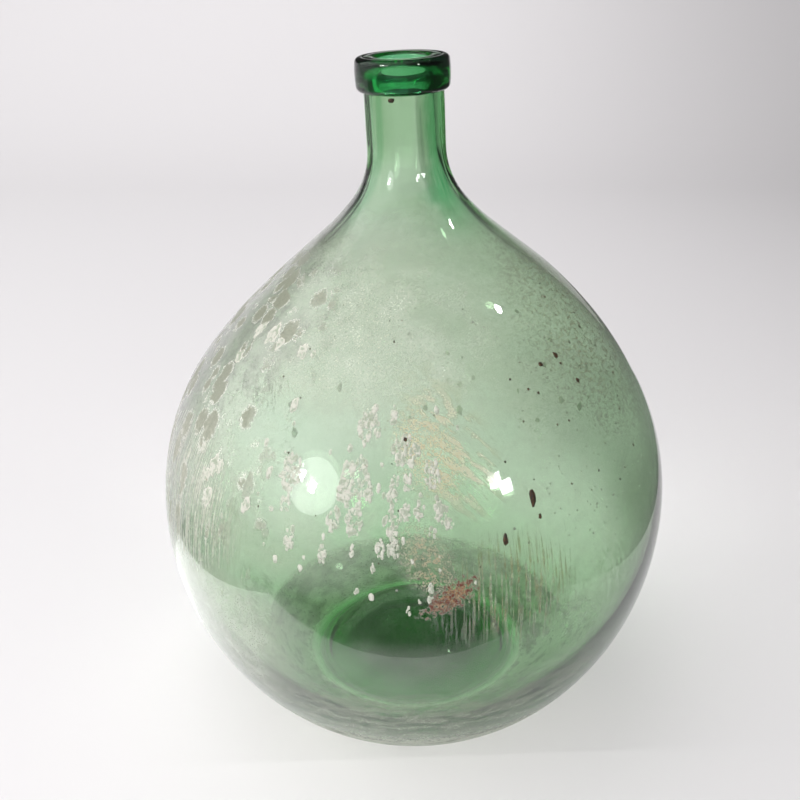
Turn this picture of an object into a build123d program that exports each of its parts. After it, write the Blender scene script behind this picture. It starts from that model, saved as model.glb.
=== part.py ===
from build123d import *
import math
import os

# Hand-blown glass demijohn: a hollow round body with a kicked-up base and a slightly leaning
# neck, and a ring of glass wound round the mouth as its lip.
# Millimetres, +Z up, origin at the middle of the resting ring, on the surface it stands on.

# Belly, outside
belly_radius = 170.5          # widest part
belly_height = 155.0          # level of the widest part
low_belly_radius = 189.0      # arc of the lower belly
low_belly_turn = 49.7         # how far that arc turns down before the heel, degrees
ring_height = 0.0             # level of the resting ring

# Belly, inside
wall_belly = 5.0              # wall at the widest part
low_inside_radius = 160.0     # smaller than outside, so the wall thickens downwards
low_inside_turn = 57.5
trough_height = 14.0          # lowest level of the floor inside

# Shoulder: (arc radius, turn in degrees) from the belly up to the straight cone
shoulder_outside = [(170.5, 31.5), (265.0, 9.8), (352.0, 8.5)]
shoulder_inside = [(165.5, 31.5), (260.0, 9.8), (346.5, 8.5)]
cone_length = 36.0            # straight run above the arcs
sweep_outside = (143.0, 10.9)     # hollow arc that starts the turn up into the neck
sweep_inside = (150.0, 10.9)

# Kick-up in the base
ring_width = 6.0              # worn flat that carries the weight
kick_rise = 30.0              # underside at the middle
kick_floor = 45.0             # floor inside at the middle
kick_edge_radius = 8.0        # rounding from the resting ring into the kick-up
trough_edge_radius = 10.0     # rounding from the trough up onto the dome

# Neck and lip, measured along the leaning neck
neck_radius = 23.8
bore_radius = 16.0
mouth_station = 442.8         # top of the rim
mouth_edge = 2.5              # rounding where the bore meets the rim
lip_radius = 28.2
lip_height = 19.6
lip_bulge = 0.4
lip_top_edge = 3.0
lip_low_edge = 3.8

# Lean: the middle line bends over this stretch and stays straight above it
lean_angle = 2.4
bend_start = 246.0
bend_end = 311.0

bend_radius = (bend_end - bend_start) / math.radians(lean_angle)


def middle_line(station):
    """Point on the middle line and its tilt in degrees, at a distance along the line."""
    if station <= bend_start:
        return Vector(0, 0, station), 0.0
    run = min(station, bend_end) - bend_start
    tilt = run / bend_radius
    x = -bend_radius * (1 - math.cos(tilt))
    z = bend_start + bend_radius * math.sin(tilt)
    rest = max(station - bend_end, 0.0)
    point = Vector(x - rest * math.sin(tilt), 0, z + rest * math.cos(tilt))
    return point, math.degrees(tilt)


def section_plane(station):
    """Plane square to the middle line."""
    point, tilt = middle_line(station)
    t = math.radians(tilt)
    return Plane(origin=point, x_dir=(0, 1, 0), z_dir=(-math.sin(t), 0, math.cos(t)))


def arc_points(radius, level, turn, arcs, steps):
    """Points (radius, station) along arcs that close in towards the middle line."""
    points = [(radius, level)]
    for size, angle in arcs:
        for k in range(1, steps + 1):
            a = math.radians(turn + angle * k / steps)
            b = math.radians(turn + angle * (k - 1) / steps)
            radius += size * (math.cos(a) - math.cos(b))
            level += size * (math.sin(a) - math.sin(b))
            points.append((radius, level))
        turn += angle
    return points


def shoulder_loft_points(start_radius, arcs):
    """Circles from the top of the round belly to the start of the cone."""
    top = arc_points(start_radius, belly_height, 0.0, arcs[:1], 1)[-1]
    return arc_points(top[0], top[1], arcs[0][1], arcs[1:], 6)


outer_circles = shoulder_loft_points(belly_radius, shoulder_outside)
inner_circles = shoulder_loft_points(belly_radius - wall_belly, shoulder_inside)
cone_tilt = sum(angle for size, angle in shoulder_outside)

# Frame of the leaning neck: first coordinate is the radius, second the station
neck_foot = middle_line(bend_end)[0]
lean = math.radians(lean_angle)
neck_direction = Vector(-math.sin(lean), 0, math.cos(lean))
neck_origin = neck_foot - neck_direction * bend_end
neck_plane = Plane(origin=neck_origin, x_dir=(math.cos(lean), 0, math.sin(lean)), z_dir=(0, -1, 0))
neck_axis = Axis(neck_origin, neck_direction)

# Heel and kick-up: radii that make each arc meet its neighbours smoothly
low_turn = math.radians(low_belly_turn)
heel_start = belly_height - low_belly_radius * math.sin(low_turn)
heel_radius = (heel_start - ring_height) / (1 - math.sin(low_turn))
ring_outer = (belly_radius - low_belly_radius + low_belly_radius * math.cos(low_turn)
              - heel_radius * math.cos(low_turn))
ring_inner = ring_outer - ring_width
kick_radius = (ring_inner ** 2 + kick_rise ** 2) / (2 * kick_rise) - kick_edge_radius
kick_turn = math.degrees(math.asin(ring_inner / (kick_radius + kick_edge_radius)))

inside_radius = belly_radius - wall_belly
inside_turn = math.radians(low_inside_turn)
inside_heel_start = belly_height - low_inside_radius * math.sin(inside_turn)
inside_heel_radius = (inside_heel_start - trough_height) / (1 - math.sin(inside_turn))
trough_radius = (inside_radius - low_inside_radius + low_inside_radius * math.cos(inside_turn)
                 - inside_heel_radius * math.cos(inside_turn))
dome_rise = kick_floor - trough_height
dome_radius = (trough_radius ** 2 + dome_rise ** 2) / (2 * dome_rise) - trough_edge_radius
dome_turn = math.degrees(math.asin(trough_radius / (dome_radius + trough_edge_radius)))


def neck_outline(start, sweep, neck_side, top):
    """Half outline of the cone, the sweep up into the neck and the neck, in the neck frame."""
    tilt = math.radians(cone_tilt)
    with BuildSketch(neck_plane) as half:
        with BuildLine():
            cone = Line(start, (start[0] - cone_length * math.sin(tilt),
                                start[1] + cone_length * math.cos(tilt)))
            turn = JernArc(cone @ 1, cone % 1, sweep[0], -sweep[1])
            left = cone_tilt - sweep[1]
            close = ((turn @ 1).X - neck_side) / (1 - math.cos(math.radians(left)))
            throat = JernArc(turn @ 1, turn % 1, close, -left)
            side = Line(throat @ 1, (neck_side, top))
            rim = Line(side @ 1, (0, top))
            middle = Line(rim @ 1, (0, start[1]))
            Line(middle @ 1, start)
        make_face()
    return half.sketch


with BuildPart() as glass_body:
    # Base, heel and round belly
    with BuildSketch(Plane.XZ):
        with BuildLine():
            under = JernArc((0, kick_rise), (1, 0), kick_radius, -kick_turn)
            edge = JernArc(under @ 1, under % 1, kick_edge_radius, kick_turn)
            ring = Line(edge @ 1, (ring_outer, ring_height))
            heel = JernArc(ring @ 1, (1, 0), heel_radius, 90 - low_belly_turn)
            low = JernArc(heel @ 1, heel % 1, low_belly_radius, low_belly_turn)
            belly = JernArc(low @ 1, low % 1, *shoulder_outside[0])
            top = Line(belly @ 1, (0, (belly @ 1).Y))
            Line(top @ 1, (0, kick_rise))
        make_face()
    revolve(axis=Axis.Z)
    # Shoulder: circles that tip over with the lean
    for radius, station in outer_circles:
        with BuildSketch(section_plane(station)):
            Circle(radius)
    loft()
    # Cone and neck on the leaning line
    revolve(neck_outline(outer_circles[-1], sweep_outside, neck_radius, mouth_station),
            axis=neck_axis)

    # Inside of the belly, with the dome of the kick-up standing in its floor
    with BuildSketch(Plane.XZ):
        with BuildLine():
            dome = JernArc((0, kick_floor), (1, 0), dome_radius, -dome_turn)
            trough = JernArc(dome @ 1, dome % 1, trough_edge_radius, dome_turn)
            heel = JernArc(trough @ 1, (1, 0), inside_heel_radius, 90 - low_inside_turn)
            low = JernArc(heel @ 1, heel % 1, low_inside_radius, low_inside_turn)
            belly = JernArc(low @ 1, low % 1, *shoulder_inside[0])
            top = Line(belly @ 1, (0, (belly @ 1).Y))
            Line(top @ 1, (0, kick_floor))
        make_face()
    revolve(axis=Axis.Z, mode=Mode.SUBTRACT)
    for radius, station in inner_circles:
        with BuildSketch(section_plane(station)):
            Circle(radius)
    loft(mode=Mode.SUBTRACT)
    revolve(neck_outline(inner_circles[-1], sweep_inside, bore_radius, mouth_station),
            axis=neck_axis, mode=Mode.SUBTRACT)
    # Rounded edge where the bore meets the rim
    mouth_centre = middle_line(mouth_station)[0]
    rims = glass_body.edges().filter_by(GeomType.CIRCLE).filter_by(
        lambda e: (e.arc_center - mouth_centre).length < 0.01)
    fillet(rims.sort_by(SortBy.RADIUS)[0], mouth_edge)
glass_body.part.label = "glass_body"

with BuildPart() as lip_ring:
    # Band of glass wound round the end of the neck, its outside slightly bulged
    lip_foot = mouth_station - lip_height
    with BuildSketch(neck_plane):
        with BuildLine():
            low = Line((neck_radius, lip_foot), (lip_radius - lip_bulge, lip_foot))
            side = ThreePointArc(low @ 1, (lip_radius, mouth_station - lip_height / 2),
                                 (lip_radius - lip_bulge, mouth_station))
            top = Line(side @ 1, (neck_radius, mouth_station))
            Line(top @ 1, low @ 0)
        make_face()
    revolve(axis=neck_axis)
    rims = lip_ring.edges().filter_by(GeomType.CIRCLE).filter_by(
        lambda e: e.radius > neck_radius + 1).sort_by(Axis.Z)
    fillet(rims[-1], lip_top_edge)
    rims = lip_ring.edges().filter_by(GeomType.CIRCLE).filter_by(
        lambda e: e.radius > neck_radius + 1).sort_by(Axis.Z)
    fillet(rims[0], lip_low_edge)
lip_ring.part.label = "lip_ring"

export_step(glass_body.part, "parts/glass_body.step")
export_step(lip_ring.part, "parts/lip_ring.step")
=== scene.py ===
import math
import random

import bpy
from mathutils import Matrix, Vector, noise


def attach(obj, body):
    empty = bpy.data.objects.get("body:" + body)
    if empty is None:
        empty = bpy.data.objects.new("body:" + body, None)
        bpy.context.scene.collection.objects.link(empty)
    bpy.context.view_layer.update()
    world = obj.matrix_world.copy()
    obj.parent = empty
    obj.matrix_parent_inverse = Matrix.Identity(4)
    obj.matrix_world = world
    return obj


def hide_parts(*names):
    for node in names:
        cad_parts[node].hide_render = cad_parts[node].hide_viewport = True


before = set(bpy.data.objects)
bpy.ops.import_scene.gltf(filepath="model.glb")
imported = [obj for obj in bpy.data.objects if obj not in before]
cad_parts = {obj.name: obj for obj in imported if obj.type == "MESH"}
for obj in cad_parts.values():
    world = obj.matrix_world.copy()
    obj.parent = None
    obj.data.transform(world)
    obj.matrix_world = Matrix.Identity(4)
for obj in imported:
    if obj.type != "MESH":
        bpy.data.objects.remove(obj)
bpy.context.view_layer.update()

MM = 0.001
TURN = 2 * math.pi

# ------------------------------------------------------------------ shape of the glass
# Same driving sizes as the CAD, in millimetres. r is the distance from the middle line and
# s the distance along it, up from the floor.
BELLY_R, BELLY_S = 170.5, 155.0
LOW_R, LOW_TURN = 189.0, 49.7
RING_W, KICK, KICK_EDGE = 6.0, 30.0, 8.0
WALL = 5.0
LOW_IN_R, LOW_IN_TURN = 160.0, 57.5
TROUGH, TROUGH_EDGE, DOME = 14.0, 10.0, 45.0
CONE = 36.0
NECK_R, BORE_R, TOP = 23.8, 16.0, 442.8
LEAN, BEND_LOW, BEND_TOP = math.radians(2.4), 246.0, 311.0
BEND_R = (BEND_TOP - BEND_LOW) / LEAN


def smooth(low, high, v):
    t = min(max((v - low) / (high - low), 0.0), 1.0)
    return t * t * (3 - 2 * t)


def middle(s):
    """Point on the middle line (x, z) and its tilt."""
    tilt = min(max(s - BEND_LOW, 0.0), BEND_TOP - BEND_LOW) / BEND_R
    x = -BEND_R * (1 - math.cos(tilt))
    z = min(s, BEND_LOW) + BEND_R * math.sin(tilt)
    rest = max(s - BEND_TOP, 0.0)
    return x - rest * math.sin(tilt), z + rest * math.cos(tilt), tilt


def place(r, s, turn):
    """Point in metres; turn is 0 at the front and grows towards +X."""
    x, z, tilt = middle(s)
    across = r * math.sin(turn)
    return Vector(((x + across * math.cos(tilt)) * MM, -r * math.cos(turn) * MM,
                   (z + across * math.sin(tilt)) * MM))


def arc(cx, cs, r, a0, a1, step):
    n = max(3, int(abs(math.radians(a1 - a0)) * r / step))
    return [(cx + r * math.cos(math.radians(a0 + (a1 - a0) * k / n)),
             cs + r * math.sin(math.radians(a0 + (a1 - a0) * k / n))) for k in range(n + 1)]


def upper(start_r, arcs, sweep, side, top, step):
    """Profile from the widest part up into the neck."""
    pts, turn, r, s = [(start_r, BELLY_S)], 0.0, start_r, BELLY_S
    for size, angle in arcs:
        t = math.radians(turn)
        pts += arc(r - size * math.cos(t), s - size * math.sin(t), size, turn, turn + angle, step)[1:]
        (r, s), turn = pts[-1], turn + angle
    t, n = math.radians(turn), int(CONE / step)
    pts += [(r - CONE * k / n * math.sin(t), s + CONE * k / n * math.cos(t)) for k in range(1, n + 1)]
    for size, angle in (sweep, (None, turn - sweep[1])):
        (r, s), t = pts[-1], math.radians(turn)
        size = size or (r - side) / (1 - math.cos(t))
        pts += arc(r + size * math.cos(t), s + size * math.sin(t), size,
                   180 + turn, 180 + turn - angle, step)[1:]
        turn -= angle
    s = pts[-1][1]
    n = int((top - s) / step)
    return pts + [(side, s + (top - s) * k / n) for k in range(1, n + 1)]


def low_outside(step):
    t = math.radians(LOW_TURN)
    start = BELLY_S - LOW_R * math.sin(t)
    heel = start / (1 - math.sin(t))
    ring = BELLY_R - LOW_R + (LOW_R - heel) * math.cos(t)
    inner = ring - RING_W
    size = (inner ** 2 + KICK ** 2) / (2 * KICK) - KICK_EDGE
    turn = math.degrees(math.asin(inner / (size + KICK_EDGE)))
    pts = arc(0, KICK - size, size, 90, 90 - turn, step)
    pts += arc(inner, KICK_EDGE, KICK_EDGE, 270 - turn, 270, 1.0)[1:]
    pts += arc(ring, heel, heel, -90, -LOW_TURN, step)
    return pts + arc(BELLY_R - LOW_R, BELLY_S, LOW_R, -LOW_TURN, 0, step)[1:]


def low_inside(step):
    start_r, t = BELLY_R - WALL, math.radians(LOW_IN_TURN)
    start = BELLY_S - LOW_IN_R * math.sin(t)
    heel = (start - TROUGH) / (1 - math.sin(t))
    foot = start_r - LOW_IN_R + (LOW_IN_R - heel) * math.cos(t)
    rise = DOME - TROUGH
    size = (foot ** 2 + rise ** 2) / (2 * rise) - TROUGH_EDGE
    turn = math.degrees(math.asin(foot / (size + TROUGH_EDGE)))
    pts = arc(0, DOME - size, size, 90, 90 - turn, step)
    pts += arc(foot, TROUGH + TROUGH_EDGE, TROUGH_EDGE, 270 - turn, 270, 2.0)[1:]
    pts += arc(foot, TROUGH + heel, heel, -90, -LOW_IN_TURN, step)[1:]
    return pts + arc(start_r - LOW_IN_R, BELLY_S, LOW_IN_R, -LOW_IN_TURN, 0, step)[1:]


STEP = 3.4
outside = low_outside(STEP) + upper(BELLY_R, [(170.5, 31.5), (265.0, 9.8), (352.0, 8.5)],
                                    (143.0, 10.9), NECK_R, TOP - 2.0, STEP)[1:]
inside = low_inside(STEP) + upper(BELLY_R - WALL, [(165.5, 31.5), (260.0, 9.8), (346.5, 8.5)],
                                  (150.0, 10.9), BORE_R, TOP - 2.5, STEP)[1:]
rim = arc(NECK_R - 2.0, TOP - 2.0, 2.0, 0, 90, 0.8)[1:]
mouth = arc(BORE_R + 2.5, TOP - 2.5, 2.5, 90, 180, 0.8)[:-1]


def outline_radius():
    """Radius of the outside at a station, for laying things on the glass."""
    table = [p for p in outside if p[1] > 8]

    def radius(s):
        for (r0, s0), (r1, s1) in zip(table, table[1:]):
            if s0 <= s <= s1:
                return r0 + (r1 - r0) * (s - s0) / max(s1 - s0, 1e-6)
        return table[-1][0] if s > table[-1][1] else table[0][0]
    return radius


outer_radius = outline_radius()


def blown(r, s, turn, is_inside):
    """Uneven walls of hand-blown glass: shallow swells on the belly, ribs up the neck."""
    if r < 30 and s < 60:
        return r
    neck = smooth(300, 380, s)
    swell = 0.35 * math.sin(2 * turn + 1.1 + s / 70) + 0.2 * math.sin(3 * turn - s / 45)
    ribs = 0.16 * math.sin(9 * turn + 0.6) + 0.12 * math.sin(14 * turn + 2 + s / 90)
    if is_inside:
        swell = 0.7 * math.sin(2 * turn + 2.4 - s / 60) + 0.45 * math.sin(5 * turn + s / 38)
        ribs = 0.55 * math.sin(5 * turn + 1.2) + 0.28 * math.sin(8 * turn + 0.4 + s / 80)
    fade = smooth(10, 60, s) * (1 - smooth(TOP - 30, TOP - 10, s))
    return r + fade * (swell * (1 - neck) + ribs * neck)


def turned(name, profile, count, closed=False, uneven=None, outer_rows=0):
    """Closed mesh of a profile turned round the leaning middle line. outer_rows marks the first rows."""
    verts, faces, rows = [], [], []
    for k, (r, s) in enumerate(profile):
        n = 1 if r < 1e-6 else count
        rows.append(list(range(len(verts), len(verts) + n)))
        for i in range(n):
            turn = TURN * i / count
            verts.append(place(uneven(r, s, turn, k) if uneven and n > 1 else r, s, turn))
    pairs = list(zip(rows, rows[1:])) + ([(rows[-1], rows[0])] if closed else [])
    for a, b in pairs:
        for i in range(count):
            j = (i + 1) % count
            ring = (a[i % len(a)], a[j % len(a)], b[j % len(b)], b[i % len(b)])
            face = [v for n, v in enumerate(ring) if v not in ring[:n]]
            faces.append(face)
    mesh = bpy.data.meshes.new(name)
    mesh.from_pydata(verts, [], faces)
    mesh.update()
    mesh.shade_smooth()
    if outer_rows:
        outer = mesh.attributes.new("outer", "FLOAT", "POINT")
        for k, row in enumerate(rows):
            for v in row:
                outer.data[v].value = float(k < outer_rows)
    piece = bpy.data.objects.new(name, mesh)
    bpy.context.scene.collection.objects.link(piece)
    return piece


profile = outside + rim + mouth + inside[::-1]
first_inside = len(outside) + len(rim)
body = turned("glass_body_blown", profile, 216, outer_rows=first_inside,
              uneven=lambda r, s, turn, k: blown(r, s, turn, k >= first_inside))

LIP_R, LIP_LOW = 28.2, TOP - 19.6
lip_profile = [(NECK_R - 0.15, LIP_LOW), (NECK_R + 0.8, LIP_LOW)]
lip_profile += arc(LIP_R - 4.1, LIP_LOW + 3.8, 3.8, -90, -8, 0.6)
lip_profile += [(LIP_R - 0.05, TOP - 12.5), (LIP_R, TOP - 9.8), (LIP_R - 0.05, TOP - 7)]
lip_profile += arc(LIP_R - 3.3, TOP - 3.0, 3.0, 4, 90, 0.6)
lip_profile += [(NECK_R + 0.4, TOP), (NECK_R - 0.15, TOP)]
lip = turned("lip_ring_wound", lip_profile, 120, closed=True,
             uneven=lambda r, s, turn, k: r if r < NECK_R else r + 0.12 * math.sin(3 * turn + 0.5)
             + 0.06 * math.sin(7 * turn))


# ------------------------------------------------------------------ materials
class Nodes:
    """Short way to write a node tree: every call adds a node and returns its first output."""

    def __init__(self, name):
        self.material = bpy.data.materials.new(name)
        self.material.use_nodes = True
        self.tree = self.material.node_tree
        self.shader = self.tree.nodes["Principled BSDF"]
        self.output = self.tree.nodes["Material Output"]

    def link(self, value, socket):
        if isinstance(value, bpy.types.NodeSocket):
            self.tree.links.new(value, socket)
        else:
            socket.default_value = value

    def add(self, kind, *inputs, out=0, **settings):
        node = self.tree.nodes.new("ShaderNode" + kind)
        for key, value in settings.items():
            setattr(node, key, value)
        for socket, value in zip(node.inputs, inputs):
            if value is not None:
                self.link(value, socket)
        return node.outputs[out]

    def math(self, operation, a, b=0.0, clamp=False):
        return self.add("Math", a, b, operation=operation, use_clamp=clamp)

    def remap(self, value, low, high, to_low=0.0, to_high=1.0, kind="SMOOTHSTEP"):
        return self.add("MapRange", value, low, high, to_low, to_high, interpolation_type=kind)

    def mix(self, amount, a, b):
        node = self.tree.nodes.new("ShaderNodeMix")
        node.data_type = "RGBA"
        for socket, value in zip((node.inputs[0], node.inputs[6], node.inputs[7]), (amount, a, b)):
            self.link(value if not isinstance(value, tuple) else (*value, 1.0)[:4], socket)
        return node.outputs[2]

    def position(self):
        """x, y and z in the piece's own frame, then the distance from the origin."""
        coordinates = self.tree.nodes.new("ShaderNodeTexCoord").outputs["Object"]
        split = self.tree.nodes.new("ShaderNodeSeparateXYZ")
        self.link(coordinates, split.inputs[0])
        return (*split.outputs, self.add("VectorMath", coordinates, operation="LENGTH", out=1))

    def set(self, **values):
        for key, value in values.items():
            self.link(value, self.shader.inputs[key.replace("_", " ")])


def absorb(nodes, per_mm):
    """Colour the glass by its thickness: absorption of red, green and blue per millimetre."""
    density = max(per_mm) * 1000
    volume = nodes.tree.nodes.new("ShaderNodeVolumeAbsorption")
    volume.inputs["Density"].default_value = density
    volume.inputs["Color"].default_value = (*[1 - a * 1000 / density for a in per_mm], 1)
    nodes.tree.links.new(volume.outputs[0], nodes.output.inputs["Volume"])


class Skin(Nodes):
    """Node tree with places on the glass: millimetres, turn from the front in degrees."""

    def __init__(self, name):
        super().__init__(name)
        coordinates = self.tree.nodes.new("ShaderNodeTexCoord").outputs["Object"]
        self.point = self.add("VectorMath", coordinates, None, None, 1000.0, operation="SCALE")
        split = self.tree.nodes.new("ShaderNodeSeparateXYZ")
        self.link(self.point, split.inputs[0])
        self.x, self.y, self.z = split.outputs
        back = self.math("MULTIPLY", self.y, -1.0)
        self.turn = self.math("MULTIPLY", self.math("ARCTAN2", self.x, back), 180 / math.pi)
        # direction round the middle line; its x runs from -1 at the left to 1 at the right
        flat = self.add("CombineXYZ", self.x, self.y, 0.0)
        self.around = self.add("VectorMath", flat, operation="NORMALIZE")
        direction = self.tree.nodes.new("ShaderNodeSeparateXYZ")
        self.link(self.around, direction.inputs[0])
        self.across = direction.outputs[0]

    def running(self, scale, squeeze):
        """Coordinates for marks that run down the glass."""
        round_it = self.add("VectorMath", self.around, None, None, scale, operation="SCALE")
        lift = self.add("CombineXYZ", 0.0, 0.0, self.math("MULTIPLY", self.z, squeeze))
        return self.add("VectorMath", round_it, lift, operation="ADD")

    def noise(self, where, scale, detail=3.0, rough=0.55, warp=0.0):
        return self.add("TexNoise", where, None, scale, detail, rough, None, None, None, warp)

    def cells(self, where, scale, out="Distance"):
        node = self.tree.nodes.new("ShaderNodeTexVoronoi")
        self.link(where, node.inputs["Vector"])
        node.inputs["Scale"].default_value = scale
        return node.outputs[out]

    def times(self, *values):
        result = values[0]
        for value in values[1:]:
            result = self.math("MULTIPLY", result, value)
        return result

    def most(self, *values):
        result = values[0]
        for value in values[1:]:
            result = self.math("MAXIMUM", result, value)
        return result

    def band(self, value, a, b, c, d):
        """Rises from a to b and falls from c to d."""
        return self.math("MULTIPLY", self.remap(value, a, b), self.remap(value, c, d, 1.0, 0.0))

    def patch(self, turn, height, half_turn, half_height, edge=0.5, slant=0.0, ragged=None):
        """Soft oval on the glass; slant leans it over, ragged is a value that breaks its edge."""
        u = self.math("DIVIDE", self.math("SUBTRACT", self.turn, turn), half_turn)
        v = self.math("DIVIDE", self.math("SUBTRACT", self.z, height), half_height)
        u = self.math("SUBTRACT", u, self.math("MULTIPLY", v, slant))
        d = self.math("SQRT", self.math("ADD", self.math("MULTIPLY", u, u), self.math("MULTIPLY", v, v)))
        if ragged is not None:
            d = self.math("ADD", d, ragged)
        return self.remap(d, 1 - edge, 1 + edge, 1.0, 0.0)


class OldGlass(Skin):
    """Skin of the body: the noises and masks that its layers of dirt share."""

    def __init__(self, name):
        super().__init__(name)
        self.wide = self.noise(self.point, 0.012, 4.0)
        self.middle_size = self.noise(self.point, 0.05, 4.0)
        self.fine = self.noise(self.point, 0.35, 5.0, 0.7)
        self.grain = self.noise(self.point, 1.1, 4.0, 0.75)
        self.drips = self.noise(self.running(60.0, 0.07), 0.9, 5.0, 0.65)
        self.thin_drips = self.noise(self.running(150.0, 0.045), 0.9, 4.0, 0.6)
        self.level_streaks = self.noise(self.stretched(self.point, 3.0), 0.06, 5.0, 0.65)
        self.ragged = self.remap(self.fine, 0.2, 0.8, -0.4, 0.4)
        self.from_axis = self.add("VectorMath", self.add("CombineXYZ", self.x, self.y, 0.0),
                                  operation="LENGTH", out=1)
        # 1 at the front, fading out unevenly round the sides
        side_noise = self.remap(self.middle_size, 0.25, 0.75, -35.0, 35.0, "LINEAR")
        self.front = self.remap(self.math("ADD", self.y, side_noise), -70.0, 85.0, 1.0, 0.0)
        turn_noise = self.remap(self.middle_size, 0.25, 0.75, -16.0, 16.0, "LINEAR")
        self.uneven_turn = self.math("ADD", self.turn, turn_noise)

    def stretched(self, where, squeeze):
        """Coordinates whose height is scaled, so that marks come out flatter or taller."""
        return self.add("Mapping", where, None, None, (1, 1, squeeze), vector_type="POINT")

    def less(self, amount):
        return self.math("SUBTRACT", 1.0, amount)


def left_lime(n):
    """Lime on the left of the belly: a pale veil, and duller ovals in it with a white outline."""
    foot = n.math("ADD", n.z, n.remap(n.drips, 0.3, 0.7, -40.0, 40.0, "LINEAR"))
    left = n.times(n.band(n.uneven_turn, -165.0, -130.0, -50.0, -26.0),
                   n.remap(foot, 165.0, 195.0), n.remap(n.z, 310.0, 350.0, 1.0, 0.0))
    tall, per_mm = n.stretched(n.point, 0.55), 0.075
    share = n.times(n.remap(n.turn, -92.0, -45.0, 0.60, 0.40, "LINEAR"),
                    n.remap(n.cells(tall, per_mm, "Color"), 0.1, 0.7, 0.35, 1.15, "LINEAR"))
    oval = n.math("ADD", n.cells(tall, per_mm), n.remap(n.fine, 0.2, 0.8, -0.20, 0.20, "LINEAR"))
    oval = n.math("SUBTRACT", oval, share)
    veil = n.times(left, n.remap(n.fine, 0.3, 0.7, 0.16, 0.40, "LINEAR"))
    crust = n.times(n.remap(oval, -0.03, 0.01, 1.0, 0.0), left)
    outline = n.times(n.band(oval, -0.03, 0.0, 0.04, 0.09), left, n.remap(n.grain, 0.35, 0.6))
    return veil, crust, outline


def lime_haze(n):
    """Thin lime over most of the glass, thicker on the shoulder and at the lower left."""
    haze = n.times(n.remap(n.z, 325.0, 372.0, 1.0, 0.0), n.remap(n.z, 120.0, 235.0, 0.45, 1.0),
                   n.remap(n.across, 0.57, 0.98, 1.0, 0.4), n.remap(n.wide, 0.3, 0.7, 0.07, 0.20))
    clear_before_the_dome = n.patch(-4.0, 172.0, 32.0, 24.0, 0.4)
    haze = n.times(haze, n.less(clear_before_the_dome))
    middle_left = n.times(n.patch(-30.0, 206.0, 20.0, 24.0, 0.6), 0.18)
    low_left = n.times(n.band(n.turn, -120.0, -90.0, -40.0, -14.0),
                       n.band(n.z, 40.0, 90.0, 150.0, 190.0), 0.34)
    shoulder = n.times(n.band(n.z, 250.0, 290.0, 320.0, 372.0), n.remap(n.across, -0.34, 0.87, 0.32, 0.18))
    haze = n.times(n.most(haze, middle_left, low_left, shoulder),
                   n.remap(n.middle_size, 0.3, 0.7, 0.7, 1.25, "LINEAR"),
                   n.remap(n.grain, 0.3, 0.7, 0.6, 1.45, "LINEAR"))
    centre = n.times(n.patch(-8.0, 244.0, 26.0, 40.0, 0.6), n.remap(n.middle_size, 0.4, 0.62),
                     n.remap(n.grain, 0.35, 0.65, 0.7, 1.3, "LINEAR"), 0.18)
    return n.most(haze, centre)


def foot_dirt(n):
    """A dense film round the heel, and thinner grime above it on the front."""
    off_the_base = n.remap(n.from_axis, 76.0, 90.0)
    foot_film = n.times(n.remap(n.z, 40.0, 80.0, 1.0, 0.0), off_the_base,
                        n.most(n.front, n.remap(n.z, 20.0, 30.0, 1.0, 0.0)),
                        n.remap(n.fine, 0.3, 0.62, 0.35, 0.80))
    low_grime = n.times(n.remap(n.z, 75.0, 140.0, 1.0, 0.0), off_the_base,
                        n.remap(n.level_streaks, 0.36, 0.58, 0.15, 1.0),
                        n.remap(n.grain, 0.3, 0.7, 0.4, 1.3, "LINEAR"), n.front, 0.42)
    return foot_film, low_grime


def runs_down(n):
    """Fine runs below the middle and on the left."""
    runs = n.times(n.patch(19.0, 180.0, 14.0, 34.0, 0.4, -0.1, n.ragged), n.remap(n.thin_drips, 0.47, 0.60),
                   n.remap(n.fine, 0.35, 0.60, 0.35, 1.0), 0.48)
    left_runs = n.times(n.patch(-62.0, 200.0, 24.0, 46.0, 0.4), n.remap(n.thin_drips, 0.47, 0.56), 0.65)
    return runs, left_runs


def tan_stains(n):
    """Tan streaks down to the right, grains on and below them, and a rusty stain: (amount, colour)."""
    slanted = n.add("VectorRotate", n.point, (0, 0, 240), (0, 1, 0), math.radians(43.0),
                    rotation_type="AXIS_ANGLE")
    streaks = n.noise(n.add("Mapping", slanted, None, None, (1.0, 1.0, 0.03), vector_type="POINT"),
                      0.24, 3.0, 0.5)
    tan = n.times(n.patch(7.5, 258.0, 9.5, 30.0, 0.55, -0.45), n.remap(streaks, 0.41, 0.60),
                  n.remap(n.grain, 0.3, 0.6, 0.6, 1.0), 0.66)
    tan_grains = n.times(n.patch(3.0, 256.0, 7.0, 18.0, 0.5, -0.4, n.ragged),
                         n.remap(n.grain, 0.50, 0.58), 0.8)
    both_shoulders = n.most(n.patch(-24.0, 300.0, 26.0, 36.0, 0.5), n.patch(60.0, 300.0, 30.0, 30.0, 0.5))
    tan_specks = n.times(both_shoulders, n.remap(n.grain, 0.56, 0.68), 0.55)
    tan_low = n.times(n.patch(2.5, 203.0, 5.0, 20.0, 0.5, -0.5, n.ragged), n.remap(n.fine, 0.40, 0.55),
                      n.remap(n.grain, 0.44, 0.56), 0.85)
    rust = n.times(n.patch(7.0, 183.0, 3.0, 9.0, 0.25, 0.9, n.remap(n.fine, 0.3, 0.7, -0.7, 0.7)),
                   n.remap(n.grain, 0.38, 0.50))
    rust_colour = n.mix(n.remap(n.fine, 0.42, 0.56), (0.13, 0.026, 0.016), (0.33, 0.19, 0.09))
    return ((tan, (0.58, 0.50, 0.33)), (tan_grains, (0.52, 0.38, 0.20)),
            (tan_specks, (0.52, 0.38, 0.22)), (tan_low, (0.36, 0.21, 0.10)), (rust, rust_colour))


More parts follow.
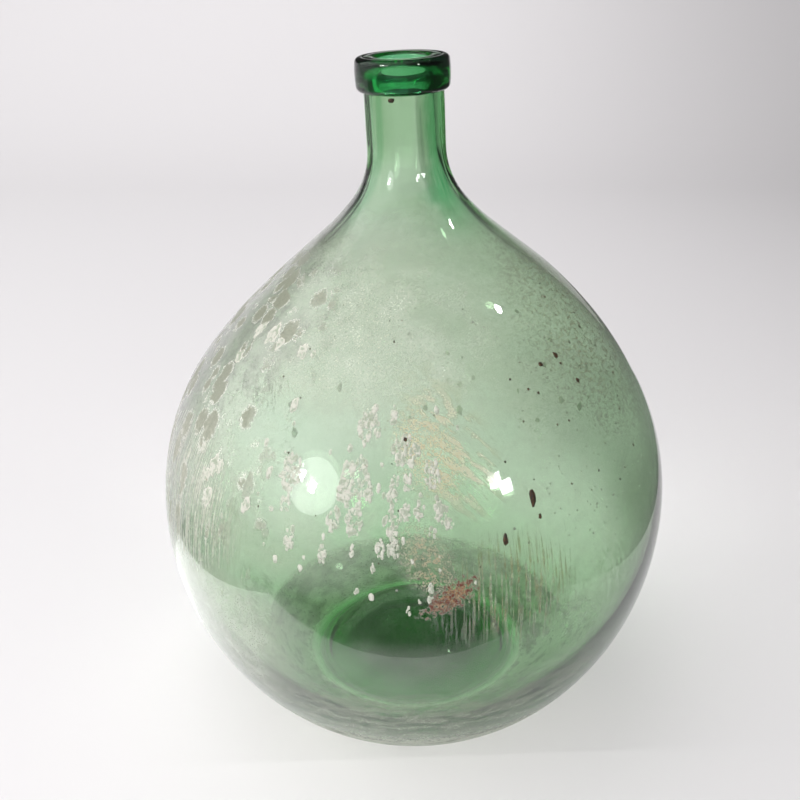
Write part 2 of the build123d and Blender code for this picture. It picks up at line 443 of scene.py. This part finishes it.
def loose_specks(n):
    """Dark specks and finer dust on the front: (amount, colour)."""
    speck_cells, dust_cells = 0.11, 0.30     # per millimetre
    speckled = n.most(n.patch(40.0, 262.0, 34.0, 62.0, 0.4), n.patch(-28.0, 292.0, 20.0, 32.0, 0.4),
                      n.patch(8.0, 215.0, 16.0, 40.0, 0.4))
    dusty = n.most(n.patch(50.0, 250.0, 26.0, 70.0, 0.5), n.patch(4.0, 316.0, 40.0, 22.0, 0.5))
    specks = n.times(n.remap(n.cells(n.point, speck_cells), 0.07, 0.11, 1.0, 0.0),
                     n.math("GREATER_THAN", n.cells(n.point, speck_cells, "Color"), 0.62),
                     speckled, n.front, 0.85)
    dust = n.times(n.remap(n.cells(n.point, dust_cells), 0.12, 0.24, 1.0, 0.0),
                   n.math("GREATER_THAN", n.cells(n.point, dust_cells, "Color"), 0.40),
                   n.remap(n.middle_size, 0.35, 0.55, 0.25, 1.0), dusty,
                   n.remap(n.fine, 0.35, 0.6, 0.2, 1.0), n.front, 0.7)
    return (specks, (0.035, 0.03, 0.02)), (dust, (0.08, 0.075, 0.05))


def window_bloom(n):
    """Dull bloom that catches the window, strongest on the upper left."""
    upper = n.remap(n.z, 150.0, 215.0, 0.12, 1.0)
    bloom = n.most(n.times(n.remap(n.across, -0.87, 0.09, 1.0, 0.25), upper),
                   n.times(n.remap(n.across, -0.5, -0.87), 0.6))
    return n.times(bloom, n.remap(n.z, 335.0, 385.0, 1.0, 0.0), n.remap(n.wide, 0.3, 0.7, 0.6, 1.0))


def body_glass():
    n = OldGlass("old green glass with lime film")
    veil, crust, outline = left_lime(n)
    foot_film, low_grime = foot_dirt(n)
    runs, left_runs = runs_down(n)
    grime = n.times(n.patch(70.0, 292.0, 36.0, 62.0, 0.5, 0.0, n.ragged),
                    n.remap(n.fine, 0.45, 0.57), n.remap(n.grain, 0.38, 0.60))
    film = n.most(lime_haze(n), veil, n.times(crust, 0.85), n.times(outline, 0.9), n.times(grime, 0.6),
                  foot_film, low_grime, runs, left_runs)

    colour = n.mix(n.remap(n.grain, 0.3, 0.7), (0.64, 0.67, 0.58), (0.78, 0.79, 0.71))
    dull = n.mix(n.remap(n.grain, 0.35, 0.65), (0.20, 0.22, 0.15), (0.32, 0.33, 0.25))
    dull_runs = n.mix(n.remap(n.fine, 0.42, 0.58), (0.30, 0.30, 0.22), (0.62, 0.61, 0.51))
    foot_colour = n.mix(n.remap(n.level_streaks, 0.4, 0.6), (0.24, 0.26, 0.20), (0.50, 0.51, 0.44))
    run_colour = n.mix(n.remap(n.drips, 0.4, 0.6), (0.58, 0.60, 0.48), (0.40, 0.37, 0.24))
    for amount, tint in ((crust, dull), (left_runs, dull_runs), (outline, (0.80, 0.78, 0.71)),
                         (n.remap(foot_film, 0.1, 0.5), foot_colour),
                         (n.remap(low_grime, 0.05, 0.2), (0.55, 0.58, 0.49)),
                         (n.remap(runs, 0.05, 0.3), run_colour), (grime, (0.20, 0.17, 0.12))):
        colour = n.mix(amount, colour, tint)
    for amount, tint in (*tan_stains(n), *loose_specks(n)):
        colour = n.mix(amount, colour, tint)
        film = n.most(film, amount)

    # the dirt is on the outer face only, and the thick kicked-up base is clean
    side = n.tree.nodes.new("ShaderNodeAttribute")
    side.attribute_name = "outer"
    # the kicked-up base: kept clean of film, and tinted below with deeper green and painted shade
    kick_up_green_and_shade = n.times(n.remap(n.z, 38.0, 50.0, 1.0, 0.0), n.remap(n.from_axis, 72.0, 84.0, 1.0, 0.0))
    film = n.times(film, side.outputs["Fac"], n.less(kick_up_green_and_shade))
    base = n.mix(n.remap(film, 0.0, 0.25), (1.0, 1.0, 1.0), colour)
    # darker streaks down the neck, broadest on its right
    streaks = n.most(n.band(n.uneven_turn, 8.0, 34.0, 62.0, 88.0),
                     n.times(n.band(n.turn, -72.0, -64.0, -60.0, -52.0), 0.7))
    neck = n.times(n.remap(n.z, 338.0, 368.0), streaks, n.remap(n.drips, 0.35, 0.6, 0.5, 1.0))
    base = n.mix(neck, base, (0.22, 0.66, 0.38))
    # painted shade: the glass on the right of the belly is tinted greyer and darker where less light comes
    # through from behind
    thick = n.times(n.band(n.turn, 34.0, 54.0, 120.0, 160.0), n.band(n.z, 90.0, 150.0, 200.0, 240.0))
    base = n.mix(n.times(thick, n.less(film)), base, (0.62, 0.64, 0.60))
    # partly the base's deeper green glass, partly painted shade of the dark floor under the kick-up;
    # darkest at the top of the kick-up
    slope = n.remap(n.from_axis, 42.0, 58.0)
    base = n.mix(kick_up_green_and_shade, base, n.mix(slope, (0.06, 0.27, 0.06), (0.34, 0.66, 0.34)))
    n.set(Base_Color=base, Transmission_Weight=n.less(film),
          Roughness=n.remap(film, 0.25, 0.7, 0.0, 0.6, "LINEAR"), IOR=1.5,
          Coat_Weight=window_bloom(n), Coat_Roughness=0.38, Coat_IOR=1.6)
    absorb(n, (0.057, 0.027, 0.059))
    return n.material


def lip_glass():
    n = Nodes("thick green lip glass")
    n.set(Roughness=0.0, IOR=1.5, Transmission_Weight=1.0, Base_Color=(1, 1, 1, 1))
    absorb(n, (0.29, 0.066, 0.17))
    return n.material


body.data.materials.append(body_glass())
lip.data.materials.append(lip_glass())
body.visible_shadow = False
for piece, node, slot in ((body, "glass_body", "green_glass"), (lip, "lip_ring", "lip_glass")):
    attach(piece, "root")
    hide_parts(node)


# ------------------------------------------------------------------ crust on the glass
def on_glass(turn, s, lift):
    """Point on the outside of the blown glass, lifted off it by some millimetres."""
    return place(blown(outer_radius(s), s, turn, False) + lift, s, turn)


WIDER, LONGER = 1.2, 1.05     # marks are laid out a little larger than they are stated
EDGE_SINK, UNDER_SINK = 0.02, 0.25     # how deep a crust's edge and underside sit in the glass


def flakes(name, marks, thick, seed):
    """Thin crusts with ragged outlines. marks: turn in degrees, height, width and length in mm."""
    rng = random.Random(seed)
    verts, faces, edge = [], [], []
    for turn, s, width, length in marks:
        width, length = width * WIDER, length * LONGER
        turn, shift = math.radians(turn), Vector((rng.random(), rng.random(), rng.random())) * 90
        r = outer_radius(s)
        slope = (outer_radius(s - 3) - outer_radius(s + 3)) / 6
        climb = 1 / math.sqrt(1 + slope * slope)
        rings, count = (5, 36) if width > 5 else (2, 12)
        for side in (1, -1):
            start = len(verts)
            for k in range(rings + 1):
                for i in range(1 if k == 0 else count):
                    a, reach = TURN * i / count, k / rings
                    wander = noise.noise(Vector((math.cos(a), math.sin(a), 0)) * 1.3 + shift)
                    wander += 0.7 * noise.noise(Vector((math.cos(a), math.sin(a), 1)) * 3.5 + shift)
                    wander += 0.4 * noise.noise(Vector((math.cos(a), math.sin(a), 2)) * 8.0 + shift)
                    u = reach * (1 + 0.42 * wander)
                    across, along = u * width / 2 * math.sin(a), u * length / 2 * math.cos(a)
                    bump = noise.noise(Vector((across, along, 0)) * 0.5 + shift)
                    lift = thick * (1 - reach ** 3) * (1 + 0.8 * bump) - EDGE_SINK
                    verts.append(on_glass(turn + across / r, s + along * climb,
                                          lift if side > 0 else -UNDER_SINK - 0.05 * (1 - reach)))
                    edge.append(reach)
            for k in range(rings):
                for i in range(count):
                    j = (i + 1) % count
                    low = start + (1 + (k - 1) * count if k else 0)
                    high = start + 1 + k * count
                    ring = (high + i, high + j) if k == 0 else (high + i, high + j, low + j)
                    face = [*ring, low if k == 0 else low + i]
                    faces.append(face if side > 0 else face[::-1])
        top, under = start - 1 - rings * count, start
        rim_top, rim_low = top + 1 + (rings - 1) * count, under + 1 + (rings - 1) * count
        for i in range(count):
            j = (i + 1) % count
            faces.append([rim_low + i, rim_low + j, rim_top + j, rim_top + i])
    mesh = bpy.data.meshes.new(name)
    mesh.from_pydata(verts, [], faces)
    mesh.update()
    mesh.shade_smooth()
    rim_mark = mesh.attributes.new("rim", "FLOAT", "POINT")
    for k, value in enumerate(edge):
        rim_mark.data[k].value = value
    piece = bpy.data.objects.new(name, mesh)
    bpy.context.scene.collection.objects.link(piece)
    return piece


def scatter(seed, count, turns, heights, widths, stretch):
    rng = random.Random(seed)
    marks = []
    for _ in range(count):
        width = rng.uniform(*widths) * rng.uniform(0.6, 1.0)
        marks.append((rng.uniform(*turns), rng.uniform(*heights), width, width * rng.uniform(*stretch)))
    return marks


def lace(marks, seed):
    """Each mark broken up into upright crumbs, closest together round its rim."""
    per_area, rim_share = 0.30, 0.55     # crumbs per square millimetre, and how many lie on the rim
    rng = random.Random(seed)
    crumbs = []
    for turn, s, width, length in marks:
        for _ in range(max(2, int(width * length * per_area))):
            angle = rng.uniform(0, TURN)
            reach = rng.uniform(0.80, 1.0) if rng.random() < rim_share else math.sqrt(rng.random()) * 0.8
            reach *= 0.5 * (1 + 0.3 * math.sin(3 * angle + turn) * math.sin(2 * angle + s))
            across, up = reach * width * math.sin(angle), reach * length * math.cos(angle)
            size = rng.uniform(0.7, 1.9)
            crumbs.append((turn + math.degrees(across / outer_radius(s)), s + up * 0.8,
                           size, size * rng.uniform(1.2, 2.8)))
    return crumbs


# turn in degrees, height, width and length in mm of the flakes that stand out on the front
front_flakes = [
    (-11, 268, 12, 19), (-27, 241, 12, 22), (-27, 224, 5, 10), (-13, 240, 18, 31), (-16, 222, 7, 15),
    (-12, 223, 9, 16), (-2, 256, 14, 17), (-1, 243, 5, 11), (4, 247, 8, 16), (-4.5, 235, 5, 12),
    (-4.5, 222, 8, 16), (-1.5, 229, 6.5, 10), (1, 229, 5, 10), (-6.5, 210, 4, 12), (-4, 210, 6, 13),
    (5.5, 229, 7, 13), (7, 222, 4, 8), (-25, 207, 5, 13), (-18, 203, 4.5, 12), (-12, 208, 3, 7),
    (-8, 199, 3, 7), (3.5, 219, 4, 6), (-4, 244, 4, 6), (-5, 272, 4, 10), (3, 186, 3, 13),
    (-11, 185, 2, 5), (-1, 176, 2, 7), (1, 181, 1.6, 4)]
front_flakes = lace(front_flakes, 2)
front_flakes += scatter(3, 34, (-32, 12), (182, 275), (1.2, 3.2), (1.2, 2.6))
front_flakes += scatter(5, 22, (-62, -30), (205, 300), (2.0, 8.0), (1.3, 2.2))
back_flakes = scatter(8, 30, (110, 250), (110, 240), (2.0, 7.0), (1.2, 2.4))
lime = flakes("lime_flakes", front_flakes + back_flakes, 0.09, 21)
# crumbs of dried stain: the same four numbers
crumbs = [(25, 229, 3.2, 9.0), (18, 211, 2.6, 6.0), (26, 219, 1.6, 3.0), (39, 285, 2.4, 3.0),
          (46, 286, 2.8, 3.6), (49, 272, 2.2, 2.6), (-17, 421, 3.0, 2.6), (-2, 262, 1.6, 2.6)]
crumbs += scatter(13, 26, (20, 75), (215, 315), (0.7, 1.7), (1.0, 1.6))
crumbs += scatter(14, 20, (-40, 16), (190, 320), (0.6, 1.3), (1.0, 1.6))
stain = flakes("stain_crumbs", crumbs, 0.45, 34)


def lime_crust():
    n = Skin("chalky lime")
    rim_value = n.tree.nodes.new("ShaderNodeAttribute")
    rim_value.attribute_name = "rim"
    fine = n.noise(n.point, 0.9, 5.0, 0.7)
    veins = n.noise(n.point, 0.35, 5.0, 0.65, 0.6)
    colour = n.mix(n.remap(veins, 0.42, 0.56), (0.33, 0.38, 0.29), (0.56, 0.56, 0.49))
    colour = n.mix(n.remap(rim_value.outputs["Fac"], 0.72, 0.95), colour, (0.66, 0.64, 0.57))
    colour = n.mix(n.remap(fine, 0.60, 0.68), colour, (0.22, 0.17, 0.12))
    bump = n.tree.nodes.new("ShaderNodeBump")
    bump.inputs["Strength"].default_value = 0.5
    bump.inputs["Distance"].default_value = 0.0004
    n.link(fine, bump.inputs["Height"])
    n.set(Base_Color=colour, Roughness=0.9, Specular_IOR_Level=0.3, Normal=bump.outputs[0])
    return n.material


def stain_crust():
    n = Skin("dried stain")
    fine = n.noise(n.point, 0.8, 4.0, 0.7)
    colour = n.mix(n.remap(fine, 0.40, 0.70), (0.014, 0.011, 0.007), (0.12, 0.055, 0.022))
    n.set(Base_Color=colour, Roughness=n.remap(fine, 0.3, 0.7, 0.35, 0.75, "LINEAR"))
    return n.material


for piece, slot, make in ((lime, "lime_scale", lime_crust), (stain, "wine_stain", stain_crust)):
    piece.data.materials.append(make())
    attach(piece, "root")


# ------------------------------------------------------------------ floor, light, camera
# painted shadow colour for the floor under the kicked-up base
PAINTED_SHADOW_UNDER_BASE = (0.03, 0.36, 0.03)
# painted shade colour for the backdrop high up
PAINTED_DARK_HIGH_BACKDROP = (0.07, 0.07, 0.07)
# painted shade: the paper is painted darker towards the right, away from the lamps on the left
PAINTED_SHADE_AT_RIGHT = 0.70     # how light the paper still is at the far right


def sweep(name, half_width, front, turn_start, turn_radius, height, colour):
    """Paper floor that turns up into a backdrop."""
    line = [(front, 0.0), (turn_start, 0.0)]
    line += [(turn_start + turn_radius * math.sin(a), turn_radius * (1 - math.cos(a)))
             for a in [math.radians(10 * k) for k in range(1, 10)]]
    line.append((turn_start + turn_radius, height))
    verts = [(x, y, z) for y, z in line for x in (-half_width, half_width)]
    faces = [(2 * k, 2 * k + 1, 2 * k + 3, 2 * k + 2) for k in range(len(line) - 1)]
    mesh = bpy.data.meshes.new(name)
    mesh.from_pydata(verts, [], faces)
    mesh.shade_smooth()
    paper = bpy.data.objects.new(name, mesh)
    bpy.context.scene.collection.objects.link(paper)
    n = Nodes(name)
    x, _, z, from_middle = n.position()
    # painted shade: darker paper towards the right
    paper_colour = n.mix(n.remap(x, -0.1, 1.3), colour, tuple(c * PAINTED_SHADE_AT_RIGHT for c in colour))
    # painted shadow: the floor under the kicked-up base is painted dark green, as hardly any light gets in
    # there
    paper_colour = n.mix(n.remap(from_middle, 0.060, 0.078, 1.0, 0.0), paper_colour, PAINTED_SHADOW_UNDER_BASE)
    # painted shade: the backdrop is painted dark above the part in the frame, so the glass does not mirror
    # a white wall
    paper_colour = n.mix(n.remap(z, 0.45, 0.8), paper_colour, PAINTED_DARK_HIGH_BACKDROP)
    n.set(Base_Color=paper_colour, Roughness=1.0, Specular_IOR_Level=0.0)
    mesh.materials.append(n.material)
    return paper


sweep("paper sweep", 4.0, -3.0, 1.5, 0.9, 3.6, (0.81, 0.79, 0.80))


def reflection_card(name, low, high, strength, fade=None):
    """Flat glowing card between two corners, which only reflections see: a painted reflection.

    fade: low x, high x, and the strength at each.
    """
    (x0, y0, z0), (x1, y1, z1) = low, high
    corners = [(x0, y0, z0), (x1, y0, z0), (x1, y1, z1), (x0, y1, z1)]
    if x0 == x1:
        corners = [(x0, y0, z0), (x0, y1, z0), (x0, y1, z1), (x0, y0, z1)]
    mesh = bpy.data.meshes.new(name)
    mesh.from_pydata(corners, [], [(0, 1, 2, 3)])
    item = bpy.data.objects.new(name, mesh)
    bpy.context.scene.collection.objects.link(item)
    n = Nodes(name)
    n.set(Base_Color=(0, 0, 0, 1), Roughness=1.0, Specular_IOR_Level=0.0,
          Emission_Color=(1, 1, 1, 1), Emission_Strength=strength)
    if fade:
        x, _, _, from_middle = n.position()
        # painted light and shade: the glow is strongest towards the lamps at the left, and dimmed near the
        # bottle as a painted contact shadow
        n.set(Emission_Strength=n.math("MULTIPLY", n.remap(x, *fade, kind="LINEAR"),
                                       n.remap(from_middle, 0.11, 0.26, 0.60, 1.0)))
    mesh.materials.append(n.material)
    for ray in ("camera", "diffuse", "transmission", "volume_scatter", "shadow"):
        setattr(item, "visible_" + ray, False)


def lamp(name, shape, place_at, aim, size, power):
    data = bpy.data.lights.new(name, "AREA")
    data.shape = shape
    data.size, data.size_y = size
    data.energy = power
    item = bpy.data.objects.new(name, data)
    bpy.context.scene.collection.objects.link(item)
    item.location = place_at
    item.rotation_euler = (Vector(aim) - Vector(place_at)).to_track_quat("-Z", "Y").to_euler()
    return item


# painted reflections: glowing cards that only reflections see, a bright one for the lit table round the
# bottle and dim ones for the darker room beyond it
TABLE_LEFT, TABLE_RIGHT, TABLE_FRONT, TABLE_BACK, CARD_Z = -0.38, 0.41, -0.30, 0.10, 0.002
reflection_card("lit table", (TABLE_LEFT, TABLE_FRONT, CARD_Z), (TABLE_RIGHT, TABLE_BACK, CARD_Z), 1.0,
     fade=(TABLE_LEFT, 0.05, 2.2, 0.75))
reflection_card("dark in front", (-3, -3, CARD_Z), (3, TABLE_FRONT, CARD_Z), 0.10)
reflection_card("dark at left", (-3, TABLE_FRONT, CARD_Z), (TABLE_LEFT, TABLE_BACK, CARD_Z), 0.3)
reflection_card("dark at right", (TABLE_RIGHT, TABLE_FRONT, CARD_Z), (3, 1.5, CARD_Z), 0.12)
reflection_card("dark side", (0.85, -0.9, 0.0), (0.85, 1.4, 1.1), 0.10)

world = bpy.data.worlds.new("studio")
bpy.context.scene.world = world
world.use_nodes = True
tree = world.node_tree
sky = tree.nodes["Background"]
sky.inputs[0].default_value = (1.0, 0.99, 1.0, 1)
direction = tree.nodes.new("ShaderNodeTexCoord").outputs["Generated"]


def towards(way):
    """1 where the direction points this way, less as it turns off it."""
    node = tree.nodes.new("ShaderNodeVectorMath")
    node.operation = "DOT_PRODUCT"
    tree.links.new(direction, node.inputs[0])
    node.inputs[1].default_value = way
    return node.outputs["Value"]


def combine(operation, first, second):
    node = tree.nodes.new("ShaderNodeMath")
    node.operation = operation
    tree.links.new(first, node.inputs[0])
    tree.links.new(second, node.inputs[1])
    return node.outputs[0]


def ramp(value, low, high, to_low, to_high):
    node = tree.nodes.new("ShaderNodeMapRange")
    node.interpolation_type = "SMOOTHSTEP"
    tree.links.new(value, node.inputs[0])
    for socket, number in zip(list(node.inputs)[1:5], (low, high, to_low, to_high)):
        socket.default_value = number
    return node.outputs[0]


# walls brighter on the left, and a broad bright ceiling above, a little to the front and the left
walls = ramp(towards((1, 0, 0)), -1.0, 1.0, 0.72, 0.06)
ceiling = ramp(towards((-0.33, -0.25, 0.91)), 0.40, 1.0, 0.0, 0.35)
# dark high up at the back, where the dome of the base mirrors it
behind = ramp(towards((0.0, 0.70, 0.71)), 0.60, 0.95, 1.0, 0.12)
tree.links.new(combine("MULTIPLY", combine("ADD", walls, ceiling), behind), sky.inputs[1])

lamp("window", "DISK", (-1.45, -1.42, 0.98), (0, 0, 0.2), (0.85, 0.85), 7)
for k, (dx, dz) in enumerate(((0.0, 0.0), (-0.16, 0.1))):
    lamp(f"window pane {k}", "RECTANGLE", (-1.40 + dx, -1.36 - dx, 0.93 + dz), (0, 0, 0.2), (0.10, 0.16), 4)
for k, (dx, dz) in enumerate(((0.0, 0.0), (0.10, -0.14))):
    lamp(f"glint {k}", "RECTANGLE", (1.18 + dx, -1.55 + dx, 1.10 + dz), (0, 0, 0.2), (0.20, 0.20), 2.5)
lamp("right lamp", "DISK", (1.2, 0.1, 1.85), (0, 0, 0.2), (0.12, 0.12), 2.5)
lamp("left wall", "RECTANGLE", (-2.2, 0.3, 1.3), (0, 0, 0.25), (2.2, 1.8), 7)
fill = lamp("front fill", "RECTANGLE", (-0.6, -2.4, 0.8), (0, 0, 0.05), (2.6, 1.0), 16)
fill.visible_glossy = False
top = lamp("overhead", "RECTANGLE", (-0.6, 0.9, 3.0), (-0.1, 0.5, 0), (2.4, 2.4), 40)
top.visible_glossy = top.visible_transmission = False

PITCH = 26.136     # degrees below level
camera_data = bpy.data.cameras.new("camera")
camera = bpy.data.objects.new("camera", camera_data)
bpy.context.scene.collection.objects.link(camera)
camera_data.sensor_width = 36.0
camera_data.lens = 43.65
camera.location = (0, -0.5912, 0.5104)
camera.rotation_euler = (math.radians(90 - PITCH), 0, 0)
camera_data.shift_x = -0.0175
camera_data.clip_start, camera_data.clip_end = 0.01, 50
bpy.context.scene.camera = camera
bpy.context.scene.view_settings.view_transform = "Standard"
